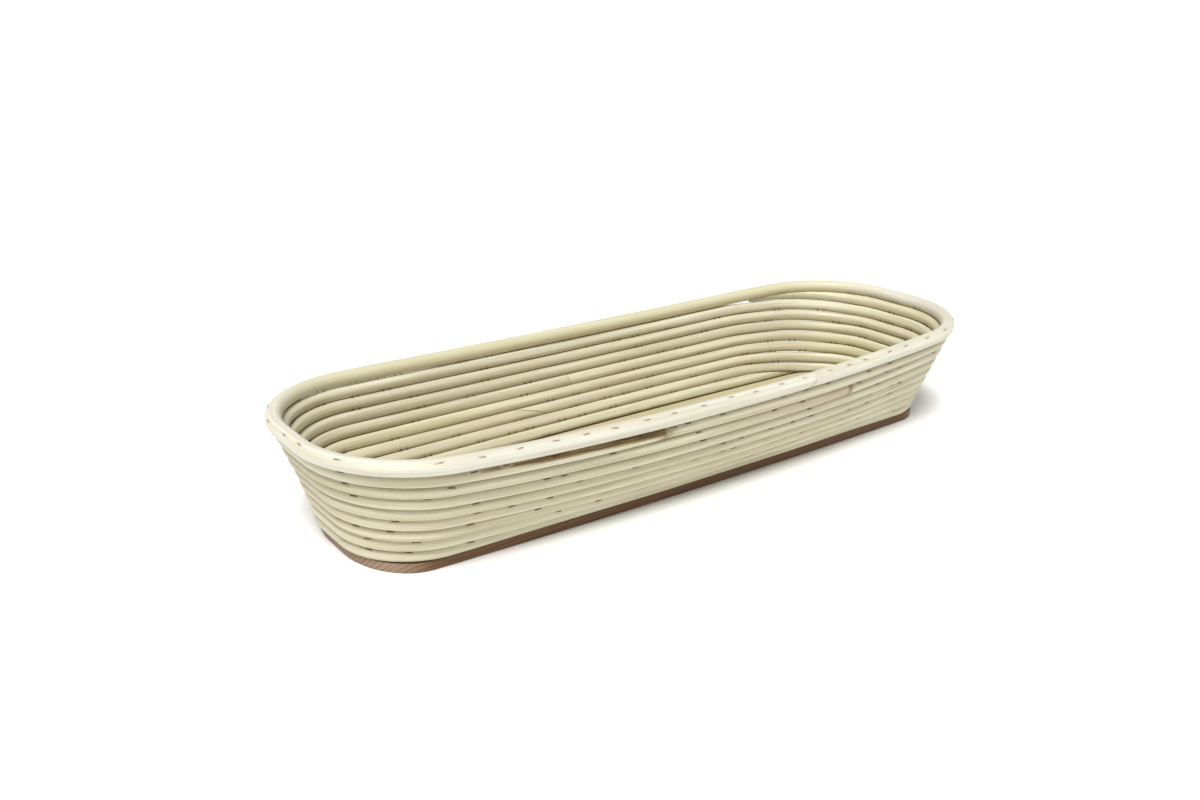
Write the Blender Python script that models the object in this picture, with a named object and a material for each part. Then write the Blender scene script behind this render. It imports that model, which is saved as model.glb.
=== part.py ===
"""Long proofing basket: a rattan coil wall with a thicker rim cane, stapled up from a wooden base board.

Frame: metres, +Z up, +X along the basket, +Y across it, the origin on the floor under its centre.

A place on the wall has two coordinates. "around" goes from 0 to 1 counterclockwise from the middle of
the +X end. "level" counts cane diameters up the wall: 0 is the axis of the lowest turn, and 7 is the
axis of the highest. The coil is one path, at tau = turn number + around.
"""
import math

import bmesh
import bpy
from mathutils import Matrix, Vector

# The wall's foot line, which is the axis of the lowest turn of cane
FOOT_HALF_LENGTH = 0.2094
FOOT_HALF_WIDTH = 0.0506
FOOT_CORNER = (0.0386, 0.0389)
SIDE_BOW = 0.0037
END_FLAT = 0.011
CORNER_ARC = 0.070
SIDE_FLAT = 0.160

# How the wall leans outwards, in degrees from upright, at the foot and at the highest turn
END_LEAN = (12.4, 23.0)
SIDE_LEAN = (45.4, 14.2)
CORNER_LEAN = (2.8, -0.2)

# Canes
CANE_PITCH = 0.0075
FIT_GAP = 0.0003
CANE_RADIUS = (CANE_PITCH - FIT_GAP) / 2
RIM_RADIUS = 0.0043
TURNS = 8
TOP_LEVEL = TURNS - 1
RIM_LEVEL = TOP_LEVEL + (CANE_RADIUS + RIM_RADIUS + FIT_GAP) / CANE_PITCH
CLIMB = (0.026, 0.135)
THINNEST = 0.15
CANE_JOINTS = (2.296, 4.261, 6.840, 7.698)
# The lowest length is one cane, cut into nodes here so that its collision hulls leave the hollow open
NODE_SPLITS = (0.410, 0.590, 0.910, 1.090, 1.910)
RIM_JOINT = 0.804
SCARF_SLANT = math.radians(62)
SCARF_BLADE = (8 * RIM_RADIUS, 3 * RIM_RADIUS)
POINTS_PER_CORNER = 8
POINTS_PER_HALF_SIDE = 7
SHORTEST_STEP = 0.004
TAPER_STEP = 0.001

# Base board
LEDGE_THICKNESS = 0.0056
BOARD_THICKNESS = 0.0074
BOARD_HALF_LENGTH = 0.2100
BOARD_HALF_WIDTH = 0.0516
BOARD_CORNER = (0.0310, 0.0420)
PANEL_INSET = 0.0042
BOARD_EDGE_ROUND = 0.0008
FOOT_HEIGHT = LEDGE_THICKNESS + FIT_GAP + CANE_RADIUS

# Staples
STAPLE_WIRE = 0.0007
STAPLE_CROWN = 0.0050
STAPLE_LEG = 0.0100
BASE_STAPLE_LEG = 0.0076
STAPLE_STATIONS = 27
STAPLES_PER_TURN = 3
FIRST_STATION = 4
CROWN_SINK = 0.7
CLEAR_OF_TAPER = 0.005
RIM_STAPLE_TILT = math.radians(12)
WALL_STAPLE_TILT = math.radians(48)

# Small values for the geometry itself
FOOT_SLOPE_STEP = 0.006
WALL_SLOPE_STEP = 0.003
NEARLY_ZERO = 1e-6
WELD_DISTANCE = 1e-5

# Colours are linear RGB
CANE_COLOURS = [(0.66, 0.60, 0.36), (0.70, 0.64, 0.40), (0.68, 0.61, 0.37), (0.72, 0.66, 0.43),
                (0.70, 0.65, 0.42)]
RIM_COLOUR = (0.80, 0.77, 0.62)
BOARD_COLOUR = (0.38, 0.23, 0.12)
STAPLE_COLOUR = (0.35, 0.30, 0.24)


def clear_scene():
    """Remove whatever the file holds."""
    for old in list(bpy.data.objects):
        bpy.data.objects.remove(old, do_unlink=True)


def make_collection(name):
    """Return a new collection under the scene."""
    collection = bpy.data.collections.new(name)
    bpy.context.scene.collection.children.link(collection)
    return collection


def make_material(name, colour, roughness, metallic=0.0):
    """Return a plain Principled material."""
    material = bpy.data.materials.new(name)
    material.use_nodes = True
    shader = material.node_tree.nodes["Principled BSDF"]
    shader.inputs["Base Color"].default_value = (*colour, 1.0)
    shader.inputs["Roughness"].default_value = roughness
    shader.inputs["Metallic"].default_value = metallic
    return material


def ease(value):
    """Ease from 0 to 1 and stay there."""
    value = min(max(value, 0.0), 1.0)
    return value * value * (3 - 2 * value)


# ---------------------------------------------------------------- the wall's surface

def oval_point(around, half_length, half_width, corner):
    """Point on the foot-shaped oval, with its share of the way to the middle of a long side."""
    quarter, along = divmod((around % 1.0) * 4, 1.0)
    if quarter % 2 == 1:
        along = 1 - along
    distance = along * (END_FLAT + CORNER_ARC + SIDE_FLAT)
    corner_x, corner_y = corner
    if distance < END_FLAT:
        x = half_length
        y = (half_width - corner_y) * distance / END_FLAT
    elif distance < END_FLAT + CORNER_ARC:
        angle = (distance - END_FLAT) / CORNER_ARC * math.pi / 2
        x = half_length - corner_x + corner_x * math.cos(angle)
        y = half_width - corner_y + corner_y * math.sin(angle)
    else:
        x = (half_length - corner_x) * (1 - (distance - END_FLAT - CORNER_ARC) / SIDE_FLAT)
        y = half_width
    sideness = 1 - (x / half_length) ** 2
    y *= 1 + SIDE_BOW * sideness / half_width
    sign_x = -1 if quarter in (1, 2) else 1
    sign_y = -1 if quarter in (2, 3) else 1
    return Vector((sign_x * x, sign_y * y, 0)), sideness


def foot_point(around):
    """Point on the foot line, its outward direction and its sideness."""
    foot = (FOOT_HALF_LENGTH, FOOT_HALF_WIDTH, FOOT_CORNER)
    point, sideness = oval_point(around, *foot)
    before = oval_point(around - FOOT_SLOPE_STEP, *foot)[0]
    after = oval_point(around + FOOT_SLOPE_STEP, *foot)[0]
    forward = (after - before).normalized()
    return point, Vector((forward.y, -forward.x, 0)), sideness


def lean_angle(level, sideness):
    """Lean of the wall from upright, in radians."""
    share = level / TOP_LEVEL
    end = END_LEAN[0] + (END_LEAN[1] - END_LEAN[0]) * share
    side = SIDE_LEAN[0] + (SIDE_LEAN[1] - SIDE_LEAN[0]) * share
    corner = CORNER_LEAN[0] + (CORNER_LEAN[1] - CORNER_LEAN[0]) * share
    return math.radians(end + (side - end) * sideness + corner * 4 * sideness * (1 - sideness))


def wall_point(around, level):
    """Point on the wall: one cane pitch along the leaning profile for each level."""
    point, outward, sideness = foot_point(around)
    low = lean_angle(0, sideness)
    high = lean_angle(level, sideness)
    bend = (high - low) / level if abs(level) > NEARLY_ZERO else 0.0
    if abs(bend) > NEARLY_ZERO:
        out = CANE_PITCH * (math.cos(low) - math.cos(high)) / bend
        up = CANE_PITCH * (math.sin(high) - math.sin(low)) / bend
    else:
        out = CANE_PITCH * level * math.sin(low)
        up = CANE_PITCH * level * math.cos(low)
    return point + outward * out + Vector((0, 0, FOOT_HEIGHT + up))


def wall_frame(around, level):
    """Axes at a place on the wall: along the cane, up the wall, and out of it."""
    before = wall_point(around - WALL_SLOPE_STEP, level)
    after = wall_point(around + WALL_SLOPE_STEP, level)
    along = (after - before).normalized()
    up = wall_point(around, level + 0.5) - wall_point(around, level - 0.5)
    up = (up - along * up.dot(along)).normalized()
    return along, up, along.cross(up)


# ---------------------------------------------------------------- canes

def coil_level(tau):
    """Level of the coil's axis and its thickness, as a share of a whole cane, at tau."""
    turn = math.floor(tau)
    climb = ease((tau - turn - CLIMB[0]) / (CLIMB[1] - CLIMB[0]))
    if turn == 0:
        return 0.0, climb
    if turn == TURNS:
        return TOP_LEVEL + climb / 2, 1 - climb
    return turn - 1 + climb, 1.0


def coil_point(tau):
    """Point on the coil's axis and its thickness. The first taper lies on the ledge."""
    level, thickness = coil_level(tau)
    point = wall_point(tau, level)
    if tau < 1:
        point.z = LEDGE_THICKNESS + FIT_GAP + CANE_RADIUS * thickness
    return point, thickness


def around_stations():
    """Stations for one turn, closer together in the corners."""
    total = END_FLAT + CORNER_ARC + SIDE_FLAT
    quarter = [0.0]
    quarter += [END_FLAT + CORNER_ARC * i / POINTS_PER_CORNER for i in range(POINTS_PER_CORNER + 1)]
    start = END_FLAT + CORNER_ARC
    quarter += [start + SIDE_FLAT * i / POINTS_PER_HALF_SIDE for i in range(1, POINTS_PER_HALF_SIDE)]
    stations = []
    for number in range(4):
        if number % 2 == 0:
            stations += [(number + distance / total) / 4 for distance in quarter]
        else:
            stations += [(number + 1 - distance / total) / 4 for distance in quarter[:0:-1]]
            stations.append(number / 4)
    return sorted(set(round(station, 6) for station in stations))


def curve_to_mesh(curve_object, collection):
    """Make a mesh object with welded caps from a curve object."""
    depsgraph = bpy.context.evaluated_depsgraph_get()
    mesh = bpy.data.meshes.new_from_object(curve_object.evaluated_get(depsgraph))
    work = bmesh.new()
    work.from_mesh(mesh)
    bmesh.ops.remove_doubles(work, verts=work.verts, dist=WELD_DISTANCE)
    bmesh.ops.recalc_face_normals(work, faces=work.faces)
    work.to_mesh(mesh)
    work.free()
    name = curve_object.name
    matrix = curve_object.matrix_world.copy()
    bpy.data.objects.remove(curve_object, do_unlink=True)
    piece = bpy.data.objects.new(name, mesh)
    piece.matrix_world = matrix
    collection.objects.link(piece)
    return piece


def make_cane(name, points, radii, radius, closed, collection, bevel_resolution=2):
    """Sweep a round cane along points."""
    curve = bpy.data.curves.new(name, "CURVE")
    curve.dimensions = "3D"
    curve.twist_mode = "Z_UP"
    curve.bevel_depth = radius
    curve.bevel_resolution = bevel_resolution
    curve.use_fill_caps = not closed
    spline = curve.splines.new("POLY")
    spline.points.add(len(points) - 1)
    for spot, point, share in zip(spline.points, points, radii):
        spot.co = (*point, 1.0)
        spot.radius = share
    spline.use_cyclic_u = closed
    cane = bpy.data.objects.new(name, curve)
    collection.objects.link(cane)
    bpy.context.view_layer.update()
    cane = curve_to_mesh(cane, collection)
    cane.data.shade_smooth()
    cane.data.set_sharp_from_angle(angle=math.radians(50))
    return cane


def taper_ends():
    """Tau where the first taper starts and the last one ends, at the thinnest cane made."""
    start = CLIMB[0]
    while coil_level(start)[1] < THINNEST:
        start += TAPER_STEP
    end = TURNS + CLIMB[1]
    while coil_level(end)[1] < THINNEST:
        end -= TAPER_STEP
    return start, end


def cane_stretches():
    """Name and ends of each wall node: the lengths of cane, with the lowest one in several nodes."""
    first, last = taper_ends()
    half_gap = FIT_GAP / 2 / (4 * (END_FLAT + CORNER_ARC + SIDE_FLAT))
    joints = [first, *CANE_JOINTS, last]
    stretches = []
    for number, (low, high) in enumerate(zip(joints, joints[1:])):
        name = f"wall_cane_length_{number + 1}"
        cuts = [low, *[split for split in NODE_SPLITS if low < split < high], high]
        for part, (start, end) in enumerate(zip(cuts, cuts[1:])):
            label = f"{name}_part_{part + 1}" if len(cuts) > 2 else name
            stretches.append((label, start + half_gap, end - half_gap))
    return stretches


def make_wall_canes(collection):
    """The coil, as the lengths of cane it is wound from."""
    stations = around_stations()
    every = [turn + station for turn in range(TURNS + 1) for station in stations]
    canes = []
    for name, low, high in cane_stretches():
        between = [tau for tau in every if low + SHORTEST_STEP < tau < high - SHORTEST_STEP]
        taus = [low, *between, high]
        spots = [coil_point(tau) for tau in taus]
        points = [point for point, _ in spots]
        radii = [share for _, share in spots]
        canes.append(make_cane(name, points, radii, CANE_RADIUS, False, collection))
    return canes


def make_rim(collection, cutters):
    """The rim hoop, cut through once by a slanting scarf joint."""
    points = [wall_point(station, RIM_LEVEL) for station in around_stations()]
    rim = make_cane("rim_cane", points, [1.0] * len(points), RIM_RADIUS, True, collection, 3)
    along, up, out = wall_frame(RIM_JOINT, RIM_LEVEL)
    across = up * math.cos(SCARF_SLANT) + along * math.sin(SCARF_SLANT)
    normal = across.cross(out).normalized()
    matrix = Matrix((normal, across, out)).transposed().to_4x4()
    matrix.translation = wall_point(RIM_JOINT, RIM_LEVEL)
    matrix = matrix @ Matrix.Diagonal((FIT_GAP, *SCARF_BLADE, 1))
    blade = make_boxes("rim_scarf_cut", [matrix], cutters)
    add_cut(rim, blade)
    return rim


# ---------------------------------------------------------------- base board

def make_prism(name, outline, bottom, top, collection):
    """Upright prism from a flat outline, as a filled 2D curve."""
    curve = bpy.data.curves.new(name, "CURVE")
    curve.dimensions = "2D"
    curve.fill_mode = "BOTH"
    curve.extrude = (top - bottom) / 2
    spline = curve.splines.new("POLY")
    spline.points.add(len(outline) - 1)
    for spot, point in zip(spline.points, outline):
        spot.co = (point.x, point.y, 0, 1)
    spline.use_cyclic_u = True
    prism = bpy.data.objects.new(name, curve)
    prism.location.z = (top + bottom) / 2
    collection.objects.link(prism)
    bpy.context.view_layer.update()
    return curve_to_mesh(prism, collection)


def round_bottom_edge(piece):
    """Round the board's lower edge."""
    bottom = min(vertex.co.z for vertex in piece.data.vertices)
    work = bmesh.new()
    work.from_mesh(piece.data)
    low = [edge for edge in work.edges
           if all(vertex.co.z < bottom + NEARLY_ZERO for vertex in edge.verts)
           and any(abs(face.normal.z) < 0.5 for face in edge.link_faces)]
    bmesh.ops.bevel(work, geom=low, offset=BOARD_EDGE_ROUND, segments=2, profile=0.5,
                    affect="EDGES")
    work.to_mesh(piece.data)
    work.free()


def make_base_board(collection, cutters):
    """Wooden board with a rebate around its edge that the first turn lies in."""
    stations = around_stations()
    outline = [oval_point(s, BOARD_HALF_LENGTH, BOARD_HALF_WIDTH, BOARD_CORNER)[0] for s in stations]
    board = make_prism("base_board", outline, 0.0, LEDGE_THICKNESS, collection)
    round_bottom_edge(board)
    inner = []
    for station in stations:
        point, outward, _ = foot_point(station)
        inner.append(point - outward * PANEL_INSET)
    panel = make_prism("panel_shape", inner, BOARD_EDGE_ROUND * 2, BOARD_THICKNESS, cutters)
    hide_cutter(panel)
    join = board.modifiers.new("raised_panel", "BOOLEAN")
    join.operation = "UNION"
    join.solver = "EXACT"
    join.object = panel
    return board


# ---------------------------------------------------------------- staples

def staple_places():
    """Every staple modelled: name, place on the wall, cane radius, tilt and leg length."""
    places = []
    for number in range(STAPLE_STATIONS):
        around = (number + 0.5) / STAPLE_STATIONS
        if CLIMB[0] < around < CLIMB[1] + CLEAR_OF_TAPER:
            continue
        places.append((f"rim_staple_{len(places) + 1:02d}", around, RIM_LEVEL, RIM_RADIUS,
                       RIM_STAPLE_TILT, STAPLE_LEG + RIM_RADIUS - CANE_RADIUS))
    for turn in range(TURNS):
        for number in range(STAPLES_PER_TURN):
            station = FIRST_STATION + TURNS * number + turn
            leg = BASE_STAPLE_LEG if turn == 0 else STAPLE_LEG
            places.append((f"turn_{turn + 1}_staple_{number + 1}", station / STAPLE_STATIONS, turn,
                           CANE_RADIUS, WALL_STAPLE_TILT, leg))
    return places


def staple_matrix(around, level, radius, tilt):
    """Frame of a staple: X along its crown, Z back out of its legs, origin at the crown's middle."""
    along, up, out = wall_frame(around, level)
    centre = wall_point(around, level)
    crown = centre + (up * math.cos(tilt) + out * math.sin(tilt)) * (radius - STAPLE_WIRE * CROWN_SINK)
    aim = centre - up * CANE_PITCH
    back = (crown - aim).normalized()
    side = back.cross(along).normalized()
    matrix = Matrix((along, side, back)).transposed().to_4x4()
    matrix.translation = crown
    return matrix


def make_staple(place, collection):
    """A bent wire staple."""
    name, around, level, radius, tilt, leg = place
    half = STAPLE_CROWN / 2
    corners = [Vector((-half, 0, -leg)), Vector((-half, 0, 0)), Vector((half, 0, 0)),
               Vector((half, 0, -leg))]
    frame = staple_matrix(around, level, radius, tilt)
    curve = bpy.data.curves.new(name, "CURVE")
    curve.dimensions = "3D"
    curve.bevel_depth = STAPLE_WIRE / 2
    curve.bevel_resolution = 0
    curve.use_fill_caps = True
    spline = curve.splines.new("POLY")
    spline.points.add(len(corners) - 1)
    for spot, corner in zip(spline.points, corners):
        spot.co = (*(frame @ corner), 1.0)
    wire = bpy.data.objects.new(name, curve)
    collection.objects.link(wire)
    bpy.context.view_layer.update()
    return curve_to_mesh(wire, collection)


def make_boxes(name, matrices, cutters):
    """One hidden cutter made of unit boxes."""
    work = bmesh.new()
    for matrix in matrices:
        bmesh.ops.create_cube(work, size=1.0, matrix=matrix)
    mesh = bpy.data.meshes.new(name)
    work.to_mesh(mesh)
    work.free()
    boxes = bpy.data.objects.new(name, mesh)
    cutters.objects.link(boxes)
    hide_cutter(boxes)
    return boxes


def make_staple_slots(places, cutters):
    """Clearance slots for all staples."""
    wide = STAPLE_CROWN + STAPLE_WIRE + 2 * FIT_GAP
    thick = STAPLE_WIRE + 2 * FIT_GAP
    matrices = []
    for _, around, level, radius, tilt, leg in places:
        above = STAPLE_WIRE * 2
        below = leg + FIT_GAP
        shift = Matrix.Translation((0, 0, (above - below) / 2))
        size = Matrix.Diagonal((wide, thick, above + below, 1))
        matrices.append(staple_matrix(around, level, radius, tilt) @ shift @ size)
    return make_boxes("staple_slots", matrices, cutters)


def hide_cutter(cutter):
    """Keep a helper shape out of the result."""
    cutter.hide_render = True
    cutter.display_type = "WIRE"


def add_cut(piece, cutter):
    """Cut one shape out of a piece."""
    cut = piece.modifiers.new("cut_" + cutter.name, "BOOLEAN")
    cut.operation = "DIFFERENCE"
    cut.solver = "EXACT"
    cut.object = cutter


def main():
    clear_scene()
    basket = make_collection("proofing_basket")
    cutters = make_collection("cutters")

    board = make_base_board(basket, cutters)
    canes = make_wall_canes(basket)
    rim = make_rim(basket, cutters)
    places = staple_places()
    staples = [make_staple(place, basket) for place in places]
    slots = make_staple_slots(places, cutters)
    for piece in (board, rim, *canes):
        add_cut(piece, slots)

    board.data.materials.append(make_material("base_wood", BOARD_COLOUR, 0.55))
    rim.data.materials.append(make_material("rim_rattan", RIM_COLOUR, 0.5))
    for number, cane in enumerate(canes):
        colour = CANE_COLOURS[number % len(CANE_COLOURS)]
        cane.data.materials.append(make_material(f"wall_rattan_{number + 1}", colour, 0.5))
    for staple in staples:
        staple.data.materials.append(make_material(f"{staple.name}_wire", STAPLE_COLOUR, 0.4, 1.0))


main()
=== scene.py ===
"""Looks of the long proofing basket: coiled rattan wall, pale rim cane, wooden base board and wire staples.

Metres, +Z up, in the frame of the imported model. A place on the wall has two coordinates. "around" goes
from 0 to 1 counterclockwise from the middle of the +X end. "level" counts cane diameters up the wall,
from 0 at the lowest turn's axis to 7 at the highest's. The coil is one path, at tau = turn + around.
"""
import math

import bpy
import numpy as np
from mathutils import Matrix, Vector


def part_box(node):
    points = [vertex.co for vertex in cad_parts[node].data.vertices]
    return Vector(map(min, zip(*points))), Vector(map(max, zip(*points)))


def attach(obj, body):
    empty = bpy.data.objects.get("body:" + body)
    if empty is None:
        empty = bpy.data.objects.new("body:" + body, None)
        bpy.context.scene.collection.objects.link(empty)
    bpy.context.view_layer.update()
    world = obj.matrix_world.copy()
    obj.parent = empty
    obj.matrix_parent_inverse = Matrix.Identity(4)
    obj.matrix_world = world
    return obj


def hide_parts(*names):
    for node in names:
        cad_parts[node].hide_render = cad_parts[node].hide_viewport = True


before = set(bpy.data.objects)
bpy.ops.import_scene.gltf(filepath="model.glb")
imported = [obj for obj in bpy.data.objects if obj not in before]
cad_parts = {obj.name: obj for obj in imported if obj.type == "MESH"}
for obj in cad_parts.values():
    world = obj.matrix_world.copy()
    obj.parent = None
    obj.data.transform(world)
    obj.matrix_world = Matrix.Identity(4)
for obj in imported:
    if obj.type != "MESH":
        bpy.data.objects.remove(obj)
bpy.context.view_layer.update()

rng = np.random.default_rng(7)
BODY = "root"
MM = 0.001
SMALL = 1e-6

# ---------------------------------------------------------------- driving dimensions
# The wall's path, as in the CAD
FOOT_HALF_LENGTH = 0.2094
FOOT_HALF_WIDTH = 0.0506
FOOT_CORNER = (0.0386, 0.0389)
SIDE_BOW = 0.0037
END_FLAT = 0.011
CORNER_ARC = 0.070
SIDE_FLAT = 0.160
QUARTER = END_FLAT + CORNER_ARC + SIDE_FLAT
END_LEAN = (12.4, 23.0)
SIDE_LEAN = (45.4, 14.2)
CORNER_LEAN = (2.8, -0.2)
CANE_PITCH = 0.0075
TURNS = 8
TOP_LEVEL = TURNS - 1
LEDGE_THICKNESS = 0.0056
PANEL_INSET = 0.0042
FOOT_HEIGHT = LEDGE_THICKNESS + 0.0039
BOARD_CORNER = (0.0310, 0.0420)

# The visible canes are pressed together, where the CAD's keep a gap
CANE_RADIUS = 0.00379
RIM_RADIUS = 0.0044
RIM_LEVEL = TOP_LEVEL + (0.0036 + 0.0043 + 0.0003) / CANE_PITCH
RING_STEP = 0.0015
CANE_SIDES = 24
RIM_SIDES = 32
SMOOTH_ANGLE = 38.0

# Levels closer than this are on the same turn of cane
SAME_CANE = 0.3

# Where each turn climbs to the next level, and where the coil's two thin ends stop
CLIMB_START = (0.059, 0.059, 0.050, 0.045, 0.040, 0.035, 0.030, 0.025, 0.020)
CLIMB_END = 0.130
FIRST_TIP = 0.074
LAST_TIP = 0.102

# Joints between the lengths of cane, on tau, with how far each one's cut slants along the cane
CANE_JOINTS = (2.296, 4.261, 6.840, 7.698)
JOINT_SLANTS = (3.4, 0.1, 0.3, 0.2)
JOINT_GAP = 0.00012
RIM_JOINT = 0.804
RIM_JOINT_GAP = 0.0001
RIM_SLANT = 1.1
SLANT_REACH = 0.045
SHAVED = (7.560, 7.698)

# Where the highest turn sags a little from the rim
GAP_SPAN = (7.350, 7.455)
GAP_EASE = 0.03
RIM_GAP = 0.012

CAMERA_PLACE = (-0.4170, -0.5221, 0.2832)
CAMERA_HEADING = math.radians(36.04)
CAMERA_DIP = math.radians(21.35)
CAMERA_LENS = 34.46
CAMERA_SHIFT = 0.02


# ---------------------------------------------------------------- small helpers

def ease(value):
    """Ease from 0 to 1 and stay there."""
    value = np.clip(value, 0.0, 1.0)
    return value * value * (3 - 2 * value)


def unit(vectors):
    """Vectors scaled to length 1."""
    return vectors / np.linalg.norm(vectors, axis=-1, keepdims=True)


def wobble(distance, wavelengths, seed):
    """Smooth random wave along a distance, between about -1 and 1."""
    draw = np.random.default_rng(seed)
    total = np.zeros_like(distance)
    for wavelength in wavelengths:
        total += np.sin(distance / wavelength * 2 * np.pi + draw.uniform(0, 2 * np.pi))
    return total / len(wavelengths)


def bump_at(distance, middle, width):
    """Bell curve around a place."""
    return np.exp(-((distance - middle) / width) ** 2)


# ---------------------------------------------------------------- the wall's surface

def oval(around, half_length, half_width, corner):
    """Points on the foot-shaped oval, with their share of the way to the middle of a long side."""
    quarter = np.floor((around % 1.0) * 4)
    along = (around % 1.0) * 4 - quarter
    distance = np.where(quarter % 2 == 1, 1 - along, along) * QUARTER
    angle = np.clip((distance - END_FLAT) / CORNER_ARC, 0, 1) * np.pi / 2
    in_end = np.clip(distance / END_FLAT, 0, 1)
    in_side = np.clip((distance - END_FLAT - CORNER_ARC) / SIDE_FLAT, 0, 1)
    x = (half_length - corner[0]) * (1 - in_side) + corner[0] * np.cos(angle)
    y = (half_width - corner[1]) * in_end + corner[1] * np.sin(angle)
    sideness = 1 - (x / half_length) ** 2
    y = y * (1 + SIDE_BOW * sideness / half_width)
    x = np.where((quarter == 1) | (quarter == 2), -x, x)
    y = np.where(quarter >= 2, -y, y)
    return np.stack([x, y, np.zeros_like(x)], -1), sideness


def foot(around):
    """Points on the foot line, their outward directions and their sideness."""
    step = 0.006
    shape = (FOOT_HALF_LENGTH, FOOT_HALF_WIDTH, FOOT_CORNER)
    point, sideness = oval(around, *shape)
    forward = unit(oval(around + step, *shape)[0] - oval(around - step, *shape)[0])
    outward = np.stack([forward[..., 1], -forward[..., 0], np.zeros_like(sideness)], -1)
    return point, outward, sideness


def lean(level, sideness):
    """Lean of the wall from upright, in radians."""
    share = level / TOP_LEVEL
    end = END_LEAN[0] + (END_LEAN[1] - END_LEAN[0]) * share
    side = SIDE_LEAN[0] + (SIDE_LEAN[1] - SIDE_LEAN[0]) * share
    corner = CORNER_LEAN[0] + (CORNER_LEAN[1] - CORNER_LEAN[0]) * share
    return np.radians(end + (side - end) * sideness + corner * 4 * sideness * (1 - sideness))


def wall(around, level):
    """Points on the wall: one cane pitch along the leaning profile for each level."""
    around, level = np.broadcast_arrays(np.asarray(around, float), np.asarray(level, float))
    point, outward, sideness = foot(around)
    level = np.where(np.abs(level) < SMALL, SMALL, level)
    low = lean(0.0, sideness)
    bend = (lean(level, sideness) - low) / level
    bend = np.where(np.abs(bend) < SMALL, SMALL, bend)
    high = low + bend * level
    out = CANE_PITCH * (np.cos(low) - np.cos(high)) / bend
    rise = CANE_PITCH * (np.sin(high) - np.sin(low)) / bend
    place = point + outward * out[..., None]
    place[..., 2] = FOOT_HEIGHT + rise
    return place


def wall_axes(around, level):
    """Axes at places on the wall: along the cane, up the wall, and out of it."""
    step = 0.003
    along = unit(wall(around + step, level) - wall(around - step, level))
    up = wall(around, level + 0.5) - wall(around, level - 0.5)
    up = unit(up - along * (along * up).sum(-1, keepdims=True))
    return along, up, np.cross(along, up)


def climb_share(turn, around):
    """Share of the climb to the next level that is done at a place on a turn."""
    start = np.array(CLIMB_START)[np.asarray(turn, int)]
    return ease((around - start) / (CLIMB_END - start))


def coil(tau):
    """Level of the coil's axis at tau, and how much of the cane's height is left there."""
    turn = np.floor(tau)
    around = tau - turn
    climb = climb_share(turn, around)
    level = np.where(turn == 0, 0.0, turn - 1 + climb)
    left = np.where(turn == 0, climb_share(np.ones_like(turn), around), 1.0)
    left = np.where(turn == TURNS, 1 - climb_share(turn, around), left)
    return level, left


# ---------------------------------------------------------------- meshes

# A direction that no wire runs along
ANY_DIRECTION = (0.31, 0.17, 0.93)


def make_piece(name, vertices, faces, material, smooth_angle=SMOOTH_ANGLE):
    """A mesh piece, smooth where its faces meet at less than an angle in degrees."""
    mesh = bpy.data.meshes.new(name)
    mesh.from_pydata(vertices.tolist(), [], faces)
    mesh.shade_smooth()
    mesh.set_sharp_from_angle(angle=math.radians(smooth_angle))
    mesh.materials.append(material)
    piece = bpy.data.objects.new(name, mesh)
    bpy.context.scene.collection.objects.link(piece)
    return piece


def add_vectors(piece, name, values):
    """Store a vector on each vertex, for the materials to read."""
    attribute = piece.data.attributes.new(name, "FLOAT_VECTOR", "POINT")
    attribute.data.foreach_set("vector", np.asarray(values, np.float32).ravel())


def tube_faces(rings, sides, first=0):
    """Quads of a tube and its two end faces."""
    ring = np.arange(rings - 1)[:, None] * sides
    side = np.arange(sides)[None, :]
    after = (side + 1) % sides
    quads = np.stack([ring + side, ring + after, ring + sides + after, ring + sides + side], -1)
    faces = (quads.reshape(-1, 4) + first).tolist()
    faces.append([first + sides - 1 - number for number in range(sides)])
    last = first + (rings - 1) * sides
    faces.append([last + number for number in range(sides)])
    return faces


def wire(points, radii, sides):
    """Vertices of a thin round tube along a few points."""
    points = np.asarray(points, float)
    forward = unit(np.gradient(points, axis=0))
    across = unit(np.cross(forward, ANY_DIRECTION))
    third = np.cross(forward, across)
    angle = np.arange(sides) * 2 * np.pi / sides
    ring = across[:, None] * np.cos(angle)[None, :, None] + third[:, None] * np.sin(angle)[None, :, None]
    return (points[:, None] + ring * np.asarray(radii, float)[:, None, None]).reshape(-1, 3)


# ---------------------------------------------------------------- staples

STAPLE_WIRE = 0.0007
STAPLE_SIDES = 8
STAPLE_SMOOTH_ANGLE = 50
STAPLE_CROWN = 0.0042
STAPLE_PROUD = STAPLE_WIRE * 0.12
STAPLE_TIP = 0.0024
KNEE_DEPTH = 0.0023
RIM_STAPLE_TILT = math.radians(24)
WALL_STAPLE_TILT = math.radians(29)
STAPLE_YAW = math.radians(6)

# The CAD's staples stand at stations that share out a turn evenly, and their yaw varies as a sine
# that moves on by a step for each station
STAPLE_STATIONS = 27
STAPLES_PER_TURN = 3
FIRST_STATION = 4
RIM_YAW_STEP = 7
WALL_YAW_STEP = 5

# The CAD has no rim staples where the coil ends below the rim, and the two lowest turns get no extra
# staples where the coil starts
COIL_FINISH = (0.026, 0.140)
COIL_START = (0.01, 0.145)

# The staples that the CAD leaves out: how many there are, and how far they stray from their stations
RIM_STAPLE_SHARE = 0.93
RIM_PAIR_SHARE = 0.10
RIM_PAIR_STEP = (0.004, 0.007)
RIM_SCATTER = 0.10
RIM_TILT_SCATTER = 0.10
WALL_SKIPPED_SHARE = 0.52
WALL_SCATTER = 0.12
WALL_TILT_SCATTER = 0.09

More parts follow.
